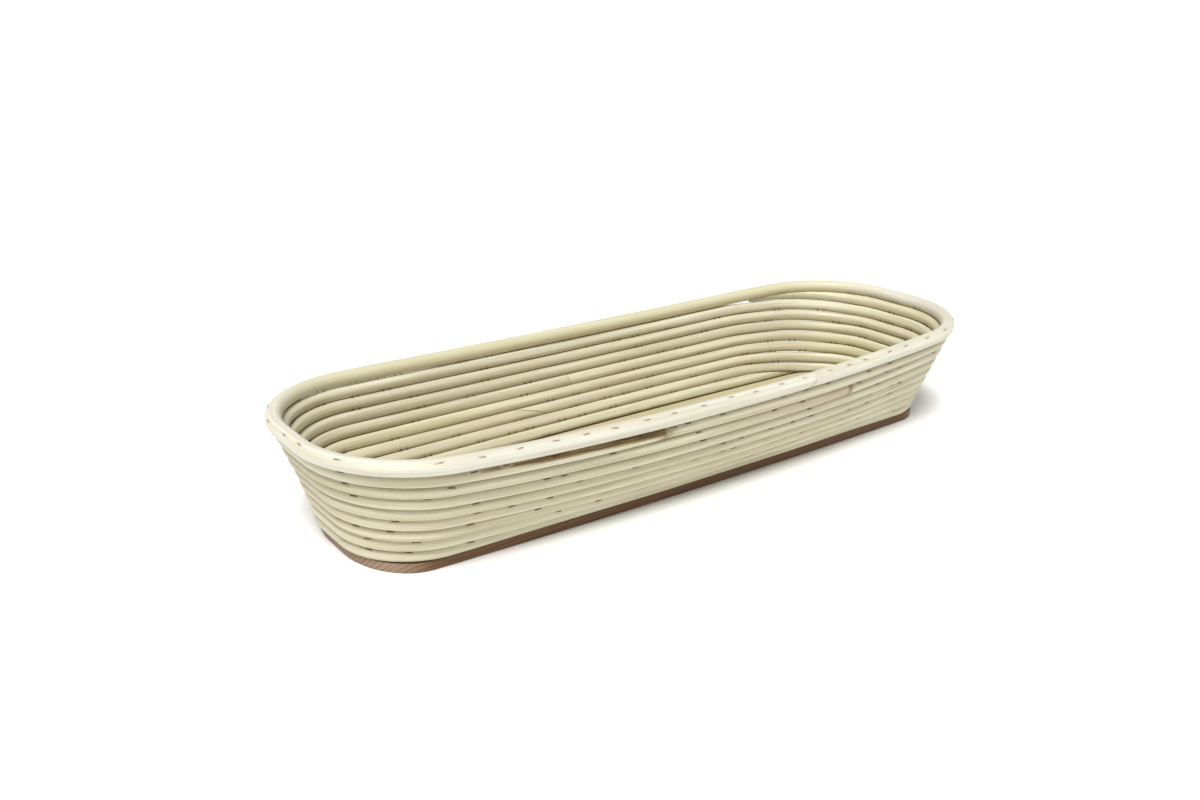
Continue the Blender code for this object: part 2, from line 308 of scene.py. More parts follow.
# The dent that a staple sits in, the painted shade in its dent, and the stains at its legs on the inside
DENT_DEPTH = 0.00030
DENT_LENGTH = 0.0030
DENT_WIDTH = 0.0011
DENT_SHADE = 0.13
LEG_STAIN = 0.85
LEG_STAIN_ANGLE = math.radians(212)
LEG_STAIN_WIDTH = 0.0010


def cad_staples():
    """Name, around, level, tilt and yaw of each staple that the CAD holds."""
    places = []
    for number in range(STAPLE_STATIONS):
        around = (number + 0.5) / STAPLE_STATIONS
        if COIL_FINISH[0] < around < COIL_FINISH[1]:
            continue
        name = f"rim_staple_{len(places) + 1:02d}"
        yaw = STAPLE_YAW * math.sin(RIM_YAW_STEP * number)
        places.append((name, around, RIM_LEVEL, RIM_STAPLE_TILT, yaw))
    for turn in range(TURNS):
        for number in range(STAPLES_PER_TURN):
            station = FIRST_STATION + TURNS * number + turn
            name = f"turn_{turn + 1}_staple_{number + 1}"
            yaw = STAPLE_YAW * math.sin(WALL_YAW_STEP * station)
            places.append((name, station / STAPLE_STATIONS, float(turn), WALL_STAPLE_TILT, yaw))
    return places


def rim_place(around):
    """Around, level, tilt and yaw of an extra staple on the rim."""
    tilt = RIM_STAPLE_TILT + rng.normal(0, RIM_TILT_SCATTER)
    return around, RIM_LEVEL, tilt, rng.uniform(0, STAPLE_YAW)


def more_staples():
    """The staples that the CAD leaves out, in groups, one for the rim and one for each turn."""
    rim = []
    for number in range(STAPLE_STATIONS):
        around = (number + rng.normal(0, RIM_SCATTER)) / STAPLE_STATIONS
        if rng.random() < RIM_STAPLE_SHARE:
            rim.append(rim_place(around))
        if rng.random() < RIM_PAIR_SHARE:
            rim.append(rim_place(around + rng.uniform(*RIM_PAIR_STEP)))
    groups = {"rim_staples_between": rim}
    for turn in range(TURNS):
        group = groups.setdefault(f"turn_{turn + 1}_staples_between", [])
        for number in range(2 * STAPLE_STATIONS):
            station = number / 2
            held = (station - FIRST_STATION - turn) % TURNS == 0
            if held or rng.random() < WALL_SKIPPED_SHARE:
                continue
            around = (station + rng.normal(0, WALL_SCATTER)) / STAPLE_STATIONS
            place = around % 1.0
            if turn < 2 and COIL_START[0] < place < COIL_START[1]:
                continue
            level = float(coil(np.float64(turn + place))[0]) if place < CLIMB_END else float(turn)
            tilt = WALL_STAPLE_TILT + rng.normal(0, WALL_TILT_SCATTER)
            group.append((around, level, tilt, rng.normal(0, STAPLE_YAW / 2)))
    return groups


def staple_wire(around, level, tilt, yaw):
    """Vertices of one bent staple, seated in its dent, and how many rings they make."""
    radius = RIM_RADIUS if level == RIM_LEVEL else CANE_RADIUS
    along, up, out = wall_axes(np.float64(around), np.float64(level))
    centre = wall(around, level)
    seat = radius - DENT_DEPTH + STAPLE_PROUD
    crown = centre + (up * math.cos(tilt) + out * math.sin(tilt)) * seat
    knee = centre - up * radius - out * KNEE_DEPTH
    tip = knee - up * STAPLE_TIP + out * KNEE_DEPTH / 2
    if level == 0:
        knee = centre - up * radius * 0.8 - out * radius * 0.3
        tip = knee - (crown - knee) * 0.25
    down = unit(knee - crown)
    along = along * math.cos(yaw) + np.cross(down, along) * math.sin(yaw)
    half = STAPLE_CROWN / 2
    bend = STAPLE_WIRE
    route = []
    for side in (-1, 1):
        corner = [tip + along * side * half,
                  knee + along * side * half,
                  crown + along * side * half + down * bend,
                  crown + along * side * (half - bend * 0.3) + down * bend * 0.3,
                  crown + along * side * (half - bend)]
        route += corner if side == -1 else corner[::-1]
    return wire(route, [STAPLE_WIRE / 2] * len(route), STAPLE_SIDES), len(route)


def make_staples(material, rim_material):
    """One piece for each staple of the CAD, and one for each group of the others."""
    for name, *place in cad_staples():
        vertices, rings = staple_wire(*place)
        finish = rim_material if "rim" in name else material
        faces = tube_faces(rings, STAPLE_SIDES)
        piece = make_piece(name + "_wire", vertices, faces, finish, STAPLE_SMOOTH_ANGLE)
        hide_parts(name)
        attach(piece, BODY)
    for name, group in MORE_STAPLES.items():
        vertices = []
        faces = []
        for place in group:
            points, rings = staple_wire(*place)
            faces += tube_faces(rings, STAPLE_SIDES, sum(len(part) for part in vertices))
            vertices.append(points)
        finish = rim_material if "rim" in name else material
        piece = make_piece(name, np.concatenate(vertices), faces, finish, STAPLE_SMOOTH_ANGLE)
        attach(piece, BODY)


# ---------------------------------------------------------------- canes

# A cut end: the distances of its close rings, and how far and how much it is rounded
END_RINGS = np.array([0.10, 0.35, 0.8]) * MM
END_ROUNDED = 0.8 * MM
END_ROUNDING = 0.16

# How far a cane strays from round and straight, with the wavelengths of that along it
SIZE_WOBBLE = (0.012, (0.07, 0.19, 0.43))
OUT_WOBBLE = (0.16, (0.11, 0.23))
UP_WOBBLE = (0.05, (0.13, 0.29))
OVAL_WOBBLE = (0.008, (0.2, 0.5))

# The long shaved end under the rim, and the butt end of the next length, which is bevelled to meet it
SHAVE_LIMIT = 0.995
SHAVE_DEPTH = 0.275
SHAVE_ANGLE = math.radians(38)
SHAVE_EDGE = 0.25 * MM
BEVEL_LENGTH = 0.012
BEVEL_LIMIT = 0.78
BEVEL_DEPTH = 0.22
BEVEL_ANGLE = math.radians(40)
NO_CUT = 2.0
ALL_CUT = -0.99

# Stains at the coil's joints, a pink patch before the third, and painted shadow of the rim on a stretch
# before the shaved end
JOINT_STAIN_WIDTHS = (0.008, 0.0006, 0.0020, 0.005)
JOINT_STAINS = (0.16, 0.25, 1.0, 0.8)
PINK_PATCH = (CANE_JOINTS[2] - 0.014, 0.014)
RIM_SHADOW_LEAD = 0.045
RIM_SHADOW_EASE = 0.05
RIM_SHADOW_TINT = 0.5

# Stains on the rim, at its joint and at one old mark on its back; and painted shade with yellow reflected
# light on its back half
RIM_JOINT_STAIN = 0.15
RIM_JOINT_STAIN_WIDTH = 0.003
RIM_MARK = 1.296
RIM_MARK_STAIN = 0.18
RIM_MARK_WIDTH = 0.0010
RIM_BACK = (0.0, 0.50)
RIM_BACK_EASES = (0.06, 0.10)

# Grain is moved along by this for each seed, so that no two canes have the same
GRAIN_STEP = 3.7


def ring_places(low, high, per_turn):
    """Places along a cane for its rings, evenly spaced, with close ones that round its ends."""
    count = int((high - low) * per_turn / RING_STEP)
    even = np.linspace(low, high, count)
    ends = END_RINGS / per_turn
    return np.concatenate([[low], low + ends, even[2:-2], high - ends[::-1], [high]])


def end_rounding(distance):
    """Radius share near a cane's cut end, which has a small broken edge."""
    return 1 - END_ROUNDING * np.clip(1 - distance / END_ROUNDED, 0, 1) ** 2


def dents(places, around, level, per_turn, sides_angle, radius):
    """Depth of the staples' dents, for each ring and side."""
    depth = np.zeros((len(around), len(sides_angle)))
    for place, height, tilt, _ in places:
        gap = ((around - place + 0.5) % 1.0 - 0.5) * per_turn
        near = (np.abs(gap) < 3 * DENT_LENGTH) & (np.abs(level - height) < SAME_CANE)
        if not near.any():
            continue
        turn = (sides_angle - tilt + np.pi) % (2 * np.pi) - np.pi
        across = bump_at(turn * radius, 0, DENT_WIDTH)
        depth[near] += np.outer(np.exp(-np.abs(gap[near] / DENT_LENGTH) ** 4), across)
    return np.minimum(depth, 1.0)


def leg_stains(places, around, level, per_turn, sides_angle, radius):
    """Stain in the inner groove where the staples' legs cross it, for each ring and side."""
    stain = np.zeros((len(around), len(sides_angle)))
    turn = (sides_angle - LEG_STAIN_ANGLE + np.pi) % (2 * np.pi) - np.pi
    across = bump_at(turn * radius, 0, LEG_STAIN_WIDTH)
    for place, height, *_ in places:
        gap = ((around - place + 0.5) % 1.0 - 0.5) * per_turn
        near = (np.abs(gap) < STAPLE_CROWN) & (np.abs(level - height) < SAME_CANE)
        if near.any():
            along = bump_at(np.abs(gap[near]), STAPLE_CROWN / 2, LEG_STAIN_WIDTH)
            stain[near] = np.maximum(stain[near], np.outer(along, across))
    return stain


def stray(distance, wobble_values, seed):
    """How far a cane strays, at each distance along it."""
    size, wavelengths = wobble_values
    return wobble(distance, wavelengths, seed) * size


def sweep_cane(name, tau, level, radius, sides, material, slants, cut, seed, places, marks_and_shade):
    """A round cane along the wall, with its wobble, dents, flat cuts and slanted ends."""
    around = tau % 1.0
    centre = wall(around, level)
    along, up, out = wall_axes(around, level)
    step = np.linalg.norm(np.diff(centre, axis=0), axis=1)
    distance = np.concatenate([[0.0], np.cumsum(step)])
    per_turn = distance[-1] / (tau[-1] - tau[0])
    angle = np.arange(sides) * 2 * np.pi / sides
    left = distance[-1] - distance
    size = radius * (1 + stray(distance, SIZE_WOBBLE, seed))
    size = size * end_rounding(distance) * end_rounding(left)
    centre = centre + out * (stray(distance, OUT_WOBBLE, seed + 1) * MM)[:, None]
    centre = centre + up * (stray(distance, UP_WOBBLE, seed + 2) * MM)[:, None]
    dent = dents(places, around, level, per_turn, angle, radius)
    long_axis = wobble(distance, OVAL_WOBBLE[1], seed + 3)[:, None] * 2
    oval_share = 1 + OVAL_WOBBLE[0] * np.cos(2 * (angle[None, :] - long_axis))
    r = size[:, None] * oval_share - dent * DENT_DEPTH
    u = r * np.cos(angle)
    v = r * np.sin(angle)
    shaved = np.zeros_like(u)
    if cut is not None:
        limit, tilt = cut(tau)
        du, dv = np.cos(tilt)[:, None], np.sin(tilt)[:, None]
        over = np.maximum(u * du + v * dv - limit[:, None] * radius, 0)
        u = u - over * du
        v = v - over * dv
        shaved = ease(over / SHAVE_EDGE) * (tau < SHAVED[1])[:, None]
    slant = slants[0] * np.clip(1 - distance / SLANT_REACH, 0, 1)
    slant = slant + slants[1] * np.clip(1 - left / SLANT_REACH, 0, 1)
    shift = slant[:, None] * u
    place = centre[:, None] + up[:, None] * u[..., None] + out[:, None] * v[..., None]
    place = place + along[:, None] * shift[..., None]
    piece = make_piece(name, place.reshape(-1, 3), tube_faces(len(tau), sides), material)
    grain = np.stack([np.broadcast_to(distance[:, None], u.shape) + shift + seed * GRAIN_STEP, u, v], -1)
    add_vectors(piece, "grain", grain.reshape(-1, 3))
    spots = np.zeros(u.shape + (3,))
    stain = leg_stains(places, around, level, per_turn, angle, radius)
    # Painted shade in the staples' dents, and real stains where their legs cross the inner groove
    spots[..., 0] = np.maximum(dent * DENT_SHADE, stain * LEG_STAIN)
    spots[..., 1] = shaved
    marks_and_shade(tau, angle, spots)
    add_vectors(piece, "marks_and_shade", spots.reshape(-1, 3))
    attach(piece, BODY)
    return piece


def wall_cut(tau):
    """Flat cuts on the coil: how high each is, in cane radii, and how far it tilts out from up."""
    left = coil(tau)[1]
    limit = np.where(left < 0.999, 2 * left - 1, NO_CUT)
    limit = np.where(left <= 0.0, ALL_CUT, limit)
    tilt = np.zeros_like(tau)
    in_shave = (tau > SHAVED[0]) & (tau <= SHAVED[1])
    depth = ease((tau - SHAVED[0]) / (SHAVED[1] - SHAVED[0]))
    limit = np.where(in_shave, SHAVE_LIMIT - SHAVE_DEPTH * depth, limit)
    tilt = np.where(in_shave, SHAVE_ANGLE, tilt)
    in_bevel = (tau > SHAVED[1]) & (tau < SHAVED[1] + BEVEL_LENGTH)
    limit = np.where(in_bevel, BEVEL_LIMIT + BEVEL_DEPTH * (tau - SHAVED[1]) / BEVEL_LENGTH, limit)
    tilt = np.where(in_bevel, BEVEL_ANGLE, tilt)
    return limit, tilt


def make_canes(materials):
    """The coil, as the lengths of cane that it is wound from."""
    per_turn = 4 * QUARTER
    gap = JOINT_GAP / per_turn
    cuts = [FIRST_TIP, *CANE_JOINTS, TURNS + LAST_TIP]
    slants = [0.0, *JOINT_SLANTS, 0.0]
    places = [place[1:] for place in cad_staples()]
    places += [place for group in MORE_STAPLES.values() for place in group]
    places = [place for place in places if place[1] != RIM_LEVEL]
    for number, (low, high) in enumerate(zip(cuts, cuts[1:])):
        tau = ring_places(low + gap, high - gap, per_turn)
        sag = ease((tau - GAP_SPAN[0]) / GAP_EASE) * ease((GAP_SPAN[1] - tau) / GAP_EASE)
        level = coil(tau)[0] - RIM_GAP * sag
        name = f"wall_cane_{number + 1}"
        piece = sweep_cane(name, tau, level, CANE_RADIUS, CANE_SIDES, materials[number],
                           slants[number:number + 2], wall_cut, 11 * number + 5, places, wall_marks_and_shade)
        nodes = [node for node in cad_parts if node.startswith(f"wall_cane_length_{number + 1}")]
        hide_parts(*nodes)


def make_rim(material):
    """The rim hoop, closed by its slanting joint."""
    tau = ring_places(RIM_JOINT + RIM_JOINT_GAP, RIM_JOINT + (1 - RIM_JOINT_GAP), 4 * QUARTER)
    places = [place[1:] for place in cad_staples() if place[2] == RIM_LEVEL]
    places += MORE_STAPLES["rim_staples_between"]
    level = np.full_like(tau, RIM_LEVEL)
    piece = sweep_cane("rim_hoop", tau, level, RIM_RADIUS, RIM_SIDES, material, (RIM_SLANT, RIM_SLANT),
                       None, 101, places, rim_marks_and_shade)
    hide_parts("rim_cane")


def wall_marks_and_shade(tau, angle, spots):
    """Stains on the coil, on its outside, near the joints; and painted shadow of the rim on its upper side
    before the shaved end.
    """
    outside = ease(0.5 + 0.9 * np.sin(angle))
    for joint, width, strength in zip(CANE_JOINTS, JOINT_STAIN_WIDTHS, JOINT_STAINS):
        near = bump_at(tau, joint, width) * strength
        spots[..., 0] = np.maximum(spots[..., 0], near[:, None] * outside)
    pink = bump_at(tau, *PINK_PATCH)
    spots[..., 2] = np.maximum(spots[..., 2], pink[:, None] * outside)
    # Painted shadow of the rim: the top turn's upper side darkens in the stretch before the shaved end
    before = ease((tau - SHAVED[0] + RIM_SHADOW_LEAD) / RIM_SHADOW_EASE) * (tau < SHAVED[1])
    upper = np.clip(np.cos(angle - SHAVE_ANGLE), 0, 1) ** 6
    spots[..., 2] = np.maximum(spots[..., 2], before[:, None] * upper * RIM_SHADOW_TINT)


def rim_marks_and_shade(tau, angle, spots):
    """Stains on the rim, and painted shade with yellow reflected light on its back half, which go all round
    the cane, so that the angle isn't used.
    """
    for place in (RIM_JOINT, RIM_JOINT + 1):
        near = RIM_JOINT_STAIN * bump_at(tau, place, RIM_JOINT_STAIN_WIDTH)
        spots[..., 0] = np.maximum(spots[..., 0], near[:, None])
    mark = RIM_MARK_STAIN * bump_at(tau, RIM_MARK, RIM_MARK_WIDTH)
    spots[..., 0] = np.maximum(spots[..., 0], mark[:, None])
    # Painted shade and yellow reflected light: the rim's back half is drawn darker and yellower
    around = tau % 1.0
    back = ease((around - RIM_BACK[0]) / RIM_BACK_EASES[0]) * ease((RIM_BACK[1] - around) / RIM_BACK_EASES[1])
    spots[..., 2] = np.maximum(spots[..., 2], back[:, None])


# ---------------------------------------------------------------- base board

BOARD_POINTS = 480
BOARD_SMOOTH_ANGLE = 30

# The board's section in millimetres: inset and height of each ring of its edge, and inset and depth
# below the floor of each ring of the raised floor
EDGE_SECTION = ((0.9, 0.0), (0.35, 0.12), (0.08, 0.42), (0.0, 0.9), (0.0, 5.25), (0.10, 5.5), (0.35, 5.6))
FLOOR_SECTION = ((0.0, 0.35), (0.1, 0.1), (0.35, 0.0))


def make_board(floor_material, edge_material):
    """The base board: rounded lower edge, a ledge for the lowest cane, and the raised floor."""
    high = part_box("base_board")[1]
    half_length, half_width, thickness = high.x, high.y - SIDE_BOW, high.z
    around = np.arange(BOARD_POINTS) / BOARD_POINTS
    edge = oval(around, half_length, half_width, BOARD_CORNER)[0]
    point, outward, _ = foot(around)
    floor_section = [(0.0, LEDGE_THICKNESS / MM)]
    floor_section += [(inset, thickness / MM - depth) for inset, depth in FLOOR_SECTION]
    rings = []
    for inset, height in EDGE_SECTION:
        rings.append(edge - outward * inset * MM + np.array([0, 0, height * MM]))
    for inset, height in floor_section:
        rings.append(point - outward * (PANEL_INSET + inset * MM) + np.array([0, 0, height * MM]))
    vertices = np.concatenate(rings)
    faces = tube_faces(len(rings), BOARD_POINTS)
    piece = make_piece("base_board_wood", vertices, faces, edge_material, BOARD_SMOOTH_ANGLE)
    piece.data.materials.append(floor_material)
    for face in piece.data.polygons:
        if face.center.z > LEDGE_THICKNESS + 0.1 * MM:
            face.material_index = 1
    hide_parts("base_board")
    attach(piece, BODY)


# ---------------------------------------------------------------- loose fibres

# Radii and lengths are in millimetres
FIBRE_RINGS = 7
FIBRE_SIDES = 6
FIBRE_RADII = (0.11, 0.03)
FIBRE_LENGTHS = (1.5, 4.0)
FIBRE_CURLS = (0.15, 0.5)
FIBRE_SMOOTH_ANGLE = 60


def make_fibres(material):
    """Splinters that curl out at the cut ends of the canes."""
    spots = [(CANE_JOINTS[3] + rng.uniform(0.000, 0.012), 7.0, rng.uniform(0.2, 1.2)) for _ in range(12)]
    spots += [(CANE_JOINTS[2] + rng.normal(0, 0.002), 6.0, rng.uniform(0.8, 1.9)) for _ in range(4)]
    spots += [(RIM_JOINT + rng.normal(0, 0.003), RIM_LEVEL, rng.uniform(1.6, 2.6)) for _ in range(4)]
    spots += [(FIRST_TIP + rng.uniform(0, 0.01), 0.0, rng.uniform(3.6, 5.2)) for _ in range(4)]
    vertices = []
    faces = []
    for around, level, turn in spots:
        radius = RIM_RADIUS if level == RIM_LEVEL else CANE_RADIUS
        along, up, out = wall_axes(np.float64(around), np.float64(level))
        normal = up * math.cos(turn) + out * math.sin(turn)
        start = wall(around, level) + normal * radius * 0.96
        length = rng.uniform(*FIBRE_LENGTHS) * MM
        heading = along * rng.choice([-1.0, 1.0])
        curl = rng.uniform(*FIBRE_CURLS)
        share = np.linspace(0, 1, FIBRE_RINGS)[:, None]
        route = start + heading * share * length + normal * curl * share ** 2 * length
        radii = np.linspace(*FIBRE_RADII, FIBRE_RINGS) * MM
        faces += tube_faces(FIBRE_RINGS, FIBRE_SIDES, sum(len(part) for part in vertices))
        vertices.append(wire(route, radii, FIBRE_SIDES))
    piece = make_piece("loose_fibres", np.concatenate(vertices), faces, material, FIBRE_SMOOTH_ANGLE)
    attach(piece, BODY)


# ---------------------------------------------------------------- materials

class Nodes:
    """A material's node tree, built a node at a time."""

    def __init__(self, name):
        self.material = bpy.data.materials.new(name)
        self.material.use_nodes = True
        self.tree = self.material.node_tree
        self.shader = self.tree.nodes["Principled BSDF"]

    def put(self, value, socket):
        """Link an output to a socket, or set the socket's own value."""
        if isinstance(value, bpy.types.NodeSocket):
            self.tree.links.new(value, socket)
        elif value is not None:
            socket.default_value = value

    def add(self, kind, inputs, **settings):
        """Add a node, with inputs by name or number."""
        node = self.tree.nodes.new(kind)
        for key, value in settings.items():
            setattr(node, key, value)
        for key, value in inputs.items():
            self.put(value, node.inputs[key])
        return node

    def math(self, operation, *values):
        """Math on numbers."""
        return self.add("ShaderNodeMath", dict(enumerate(values)), operation=operation).outputs[0]

    def vector(self, operation, *values):
        """Math on vectors."""
        return self.add("ShaderNodeVectorMath", dict(enumerate(values)), operation=operation).outputs[0]

    def noise(self, vector, stretch, detail, roughness):
        """Noise at a scale for each axis."""
        scaled = self.vector("MULTIPLY", vector, stretch)
        inputs = {"Vector": scaled, "Scale": 1.0, "Detail": detail, "Roughness": roughness}
        return self.add("ShaderNodeTexNoise", inputs).outputs["Fac"]

    def ramp(self, value, low, high, to_low=0.0, to_high=1.0):
        """Map a range of values to another, and clamp it."""
        inputs = {"Value": value, "From Min": low, "From Max": high, "To Min": to_low, "To Max": to_high}
        return self.add("ShaderNodeMapRange", inputs).outputs[0]

    def mix(self, share, first, second):
        """Mix two colours."""
        node = self.add("ShaderNodeMix", {}, data_type="RGBA")
        self.put(share, node.inputs[0])
        self.put(first if not isinstance(first, tuple) else (*first, 1.0), node.inputs[6])
        self.put(second if not isinstance(second, tuple) else (*second, 1.0), node.inputs[7])
        return node.outputs[2]

    def attribute(self, name):
        """A vector stored on the mesh."""
        return self.add("ShaderNodeAttribute", {}, attribute_name=name).outputs["Vector"]

    def split(self, vector):
        """A vector's three numbers."""
        return self.add("ShaderNodeSeparateXYZ", {0: vector}).outputs

    def bump(self, height, distance, strength):
        """Normal from a height, joined to the shader."""
        node = self.add("ShaderNodeBump", {"Height": height, "Distance": distance, "Strength": strength})
        self.put(node.outputs[0], self.shader.inputs["Normal"])

    def finish(self, colour, roughness):
        """Join the colour and the roughness to the shader."""
        self.put(colour, self.shader.inputs["Base Color"])
        self.put(roughness, self.shader.inputs["Roughness"])
        return self.material


# Colours that show through the rattan's own two
SMUDGE = (0.42, 0.33, 0.18)
WARM = (0.60, 0.50, 0.385)
GREEN = (0.58, 0.575, 0.34)
PORE = (0.36, 0.26, 0.13)
# Colour of stains, also used for the painted shade in the staples' dents
STAIN_AND_SHADE = (0.20, 0.12, 0.05)
PINK = (0.46, 0.36, 0.25)
# Colours of the shaved pith, drawn dark partly as painted shadow of the rim above it
PITH_AND_SHADOW_DARK = (0.10, 0.055, 0.017)
PITH_AND_SHADOW_LIGHT = (0.38, 0.255, 0.10)

# Colours of the board's end grain, drawn lighter than its long sides, partly as painted light
END_LIGHT = (0.32, 0.225, 0.15)
END_DARK = (0.165, 0.108, 0.068)
END_FLECK = (0.15, 0.09, 0.05)
RING_SPACING = 0.0019


def darker(colour, share):
    """A colour with each of its numbers scaled down."""
    return tuple(channel * share for channel in colour)


def rattan(name, light, dark, groove, radius, gloss=0.0, patch_and_shade=PINK, below=False):
    """Peeled rattan: long fibres, slow changes of tone, fine pores, stains where it is marked, and painted
    shade in the staples' dents, under and behind the rim and where canes touch.

    Noise scales are per metre, along the cane and across it. The groove's colour is painted shade, with some
    brown staining, where a cane touches the ones above and below it, or with below=True only where it touches
    the one below.
    """
    nodes = Nodes(name)
    grain = nodes.attribute("grain")
    fibres = nodes.noise(grain, (26, 1500, 1500), 4, 0.6)
    fine = nodes.noise(grain, (90, 4200, 4200), 3, 0.6)
    bands = nodes.noise(grain, (9, 330, 330), 3, 0.55)
    tone = nodes.noise(grain, (5, 40, 40), 2, 0.5)
    pores = nodes.noise(grain, (210, 3600, 3600), 2, 0.5)
    colour = nodes.mix(nodes.ramp(fibres, 0.32, 0.70), dark, light)
    colour = nodes.mix(nodes.ramp(bands, 0.40, 0.72, 0.0, 0.55), colour, groove)
    streaks = nodes.noise(grain, (14, 650, 650), 3, 0.55)
    colour = nodes.mix(nodes.ramp(streaks, 0.48, 0.68, 0.0, 0.38), colour, darker(dark, 0.72))
    smudges = nodes.noise(grain, (45, 170, 170), 3, 0.6)
    colour = nodes.mix(nodes.ramp(smudges, 0.60, 0.74, 0.0, 0.24), colour, SMUDGE)
    colour = nodes.mix(nodes.ramp(tone, 0.35, 0.75, 0.0, 0.35), colour, darker(dark, 0.80))
    warm = nodes.noise(grain, (6, 70, 70), 2, 0.5)
    colour = nodes.mix(nodes.ramp(warm, 0.52, 0.72, 0.0, 0.28), colour, WARM)
    colour = nodes.mix(nodes.ramp(warm, 0.46, 0.28, 0.0, 0.40), colour, GREEN)
    colour = nodes.mix(nodes.ramp(pores, 0.66, 0.80, 0.0, 0.40), colour, PORE)
    # Painted shade, with some brown staining: darker towards the lines where this cane touches its neighbours
    height = nodes.split(grain)[1]
    toward = nodes.math("MULTIPLY", height, -1.0) if below else nodes.math("ABSOLUTE", height)
    groove_shade = nodes.ramp(toward, 0.86 * radius, 0.99 * radius, 0.0, 0.85)
    colour = nodes.mix(groove_shade, colour, groove)
    # Channel 0: stains, and painted shade in the staples' dents; channel 1: shaved pith; channel 2: the pink
    # patch, and painted shade under and behind the rim
    marks_and_shade = nodes.split(nodes.attribute("marks_and_shade"))
    patchy = nodes.ramp(nodes.noise(grain, (160, 1400, 1400), 4, 0.65), 0.30, 0.62)
    stain = nodes.math("MULTIPLY", marks_and_shade[0], nodes.ramp(patchy, 0, 1, 0.45, 1.0))
    colour = nodes.mix(stain, colour, STAIN_AND_SHADE)
    # The pink patch, and painted shade and yellow reflected light under and behind the rim
    colour = nodes.mix(nodes.math("MULTIPLY", marks_and_shade[2], 0.55), colour, patch_and_shade)
    # Shaved pith under the rim, drawn dark partly as painted shadow of the rim
    pith_and_shadow = nodes.mix(nodes.ramp(fibres, 0.40, 0.60), PITH_AND_SHADOW_DARK, PITH_AND_SHADOW_LIGHT)
    colour = nodes.mix(nodes.math("MULTIPLY", marks_and_shade[1], 0.97), colour, pith_and_shadow)
    roughness = nodes.ramp(fibres, 0.25, 0.75, 0.56 - gloss, 0.40 - gloss)
    relief = nodes.math("ADD", nodes.math("MULTIPLY", fibres, 0.7), nodes.math("MULTIPLY", fine, 0.3))
    nodes.bump(relief, 0.00022, 0.8)
    nodes.shader.inputs["Specular IOR Level"].default_value = 0.42
    return nodes.finish(colour, roughness)


def wood(name, light, dark, pore, end_grain=False):
    """Sawn wood with its growth rings leaning through the board, so its ends show end grain."""
    nodes = Nodes(name)
    place = nodes.add("ShaderNodeTexCoord", {}).outputs["Object"]
    warp = nodes.noise(place, (5, 26, 26), 3, 0.5)
    x, y, z = nodes.split(place)[:3]
    across = nodes.math("ADD", nodes.math("MULTIPLY", y, 0.62), nodes.math("MULTIPLY", z, 0.78))
    across = nodes.math("ADD", across, nodes.math("MULTIPLY", warp, 0.016))
    across = nodes.math("ADD", across, nodes.math("MULTIPLY", x, 0.012))
    ring = nodes.math("FRACT", nodes.math("MULTIPLY", across, 1 / RING_SPACING))
    late = nodes.math("POWER", ring, 2.2)
    fibres = nodes.noise(place, (40, 1500, 1500), 4, 0.6)
    broad = nodes.noise(place, (6, 60, 60), 3, 0.5)
    colour = nodes.mix(late, light, dark)
    colour = nodes.mix(nodes.ramp(fibres, 0.35, 0.70, 0.0, 0.5), colour, dark)
    colour = nodes.mix(nodes.ramp(broad, 0.35, 0.70, 0.0, 0.4), colour, darker(dark, 0.8))
    flecks = nodes.noise(place, (300, 2600, 2600), 2, 0.5)
    colour = nodes.mix(nodes.ramp(flecks, 0.64, 0.74, 0.0, 0.6), colour, pore)
    if end_grain:
        # End faces, found by the normal along X, take lighter end-grain stripes: real end grain, and partly
        # painted light
        facing = nodes.split(nodes.add("ShaderNodeNewGeometry", {}).outputs["Normal"])[0]
        ends = nodes.ramp(nodes.math("ABSOLUTE", facing), 0.12, 0.75)
        stripes = nodes.mix(late, END_LIGHT, END_DARK)
        stripes = nodes.mix(nodes.ramp(flecks, 0.55, 0.72, 0.0, 0.7), stripes, END_FLECK)
        colour = nodes.mix(ends, colour, stripes)
    roughness = nodes.ramp(fibres, 0.3, 0.7, 0.70, 0.52)
    relief = nodes.math("ADD", nodes.math("MULTIPLY", late, -0.35), nodes.math("MULTIPLY", fibres, 0.6))
    nodes.bump(relief, 0.00025, 0.7)
    nodes.shader.inputs["Specular IOR Level"].default_value = 0.3
    return nodes.finish(colour, roughness)


def steel(name, light, dark):
    """Dulled staple wire."""
    nodes = Nodes(name)
    place = nodes.add("ShaderNodeTexCoord", {}).outputs["Object"]
    patches = nodes.noise(place, (900, 900, 900), 3, 0.6)
    colour = nodes.mix(nodes.ramp(patches, 0.35, 0.65), light, dark)
    nodes.bump(patches, 0.00004, 0.6)
    nodes.shader.inputs["Metallic"].default_value = 0.7
    return nodes.finish(colour, nodes.ramp(patches, 0.3, 0.7, 0.38, 0.62))


def paper(name):
    """The pale floor."""
    nodes = Nodes(name)
    place = nodes.add("ShaderNodeTexCoord", {}).outputs["Object"]
    cloud = nodes.noise(place, (3, 3, 3), 2, 0.5)
    colour = nodes.mix(cloud, (0.93, 0.93, 0.93), (0.95, 0.95, 0.95))
    return nodes.finish(colour, 0.9)


# ---------------------------------------------------------------- studio

FLOOR_HALF_WIDTH = 60.0
KEY_PLACE = (-0.44, -0.42, 1.20)
KEY_SPREAD = math.radians(24)
KEY_STRENGTH = 3.5

# The white surroundings fade from their full strength near the horizon to a share of it overhead
WORLD_FADE = (("From Min", 0.14), ("From Max", 0.40), ("To Min", 1.0), ("To Max", 0.40))


